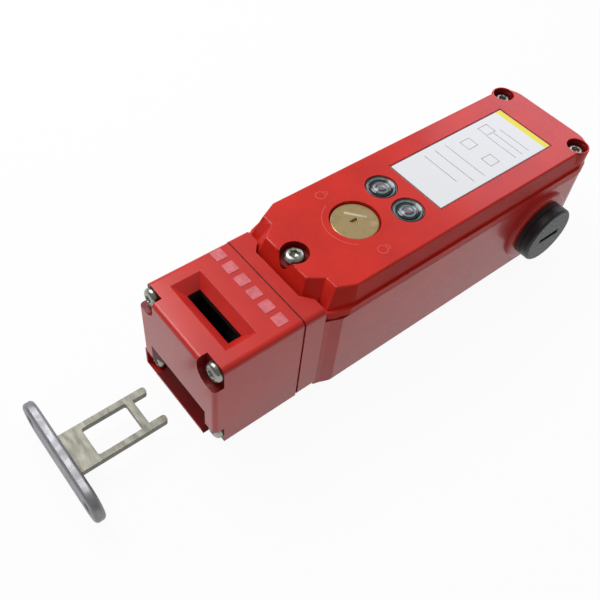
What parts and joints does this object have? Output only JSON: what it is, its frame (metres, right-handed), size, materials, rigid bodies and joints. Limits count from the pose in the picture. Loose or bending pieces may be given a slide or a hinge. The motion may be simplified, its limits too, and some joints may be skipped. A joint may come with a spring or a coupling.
{
  "type": "tongue interlock switch",
  "caption": "Red die-cast guard-locking safety switch with a slotted head, screwed lid, release rotor, indicators and side plugs, and its separate two-pronged tongue.",
  "frame": {"origin": "middle of the back edge of the head's end face, on the mounting plane", "axes": "+X across the switch towards the plug seen in the picture, +Y from the head's end face towards the tail, +Z out of the mounting plane towards the lid"},
  "size_m": [0.0688, 0.2421, 0.0524],
  "materials": {
    "red_paint": "gloss",
    "pad_pink": "satin",
    "gasket_rubber": "matt",
    "screw_steel": "satin",
    "pin_steel": "satin",
    "black_plastic": "satin",
    "dark_bezel": "satin",
    "lens_glass": "clear",
    "board_green": "matt",
    "label_white": "semi-gloss",
    "label_yellow": "semi-gloss",
    "bush_brass": "machined",
    "contact_copper": "satin",
    "flange_steel": "satin",
    "blade_steel": "satin",
    "rotor_brass": "satin"
  },
  "bodies": {
    "switch": {"head_casting": "red_paint", "head_pads": "pad_pink", "head_gasket": "gasket_rubber", "head_screws": "screw_steel", "cam_axle": "pin_steel", "axle_retainers": "black_plastic", "housing": "red_paint", "lid_gasket": "gasket_rubber", "lid": "red_paint", "lid_screws": "screw_steel", "indicator_bezels": "dark_bezel", "indicator_lenses": "lens_glass", "indicator_board": "board_green", "board_posts": "black_plastic", "label_plate": "label_white", "label_strip": "label_yellow", "conduit_plugs": "black_plastic", "plug_seals": "gasket_rubber", "guide_bushes": "bush_brass", "contact_block": "black_plastic", "fixed_contacts": "contact_copper", "terminal_screws": "screw_steel", "plunger_spring": "pin_steel", "lock_spring": "pin_steel", "coil_bobbin": "black_plastic", "coil_winding": "contact_copper", "coil_yoke": "pin_steel", "terminal_block": "black_plastic", "wiring_screws": "screw_steel"},
    "tongue": {"tongue_flange": "flange_steel", "tongue_blade": "blade_steel"},
    "cam": {"cam": "pin_steel", "cam_sleeve": "pin_steel", "lock_sector": "pin_steel"},
    "plunger": {"plunger_rod": "pin_steel", "contact_carrier": "black_plastic", "contact_bridges": "contact_copper"},
    "lock": {"lock_bolt": "pin_steel", "armature": "pin_steel"},
    "rotor": {"release_rotor": "rotor_brass", "rotor_shaft": "pin_steel"}
  },
  "joints": [
    {"name": "tongue_slide", "type": "slide", "parent": "switch", "child": "tongue", "axis": [0, 1, 0], "range_m": [0, 0.044]},
    {"name": "cam_turn", "type": "hinge", "parent": "switch", "child": "cam", "pos_m": [0, 0.0265, 0.019], "axis": [1, 0, 0], "range_deg": [0, 180]},
    {"name": "plunger_slide", "type": "slide", "parent": "switch", "child": "plunger", "axis": [0, 1, 0], "range_m": [-0.0032, 0], "deforming": ["plunger_spring"]},
    {"name": "release_turn", "type": "hinge", "parent": "switch", "child": "rotor", "pos_m": [0, 0.079, 0.05], "axis": [0, 0, 1], "range_deg": [0, 90]},
    {"name": "lock_slide", "type": "slide", "parent": "switch", "child": "lock", "axis": [0, 1, 0], "range_m": [-0.0035, 0], "deforming": ["lock_spring"]}
  ],
  "couplings": [
    {"joint": "cam_turn", "follows": "tongue_slide", "rad_per_m": 71.39},
    {"joint": "plunger_slide", "follows": "tongue_slide", "ratio": -0.0727},
    {"joint": "release_turn", "follows": "lock_slide", "rad_per_m": -448.8}
  ]
}
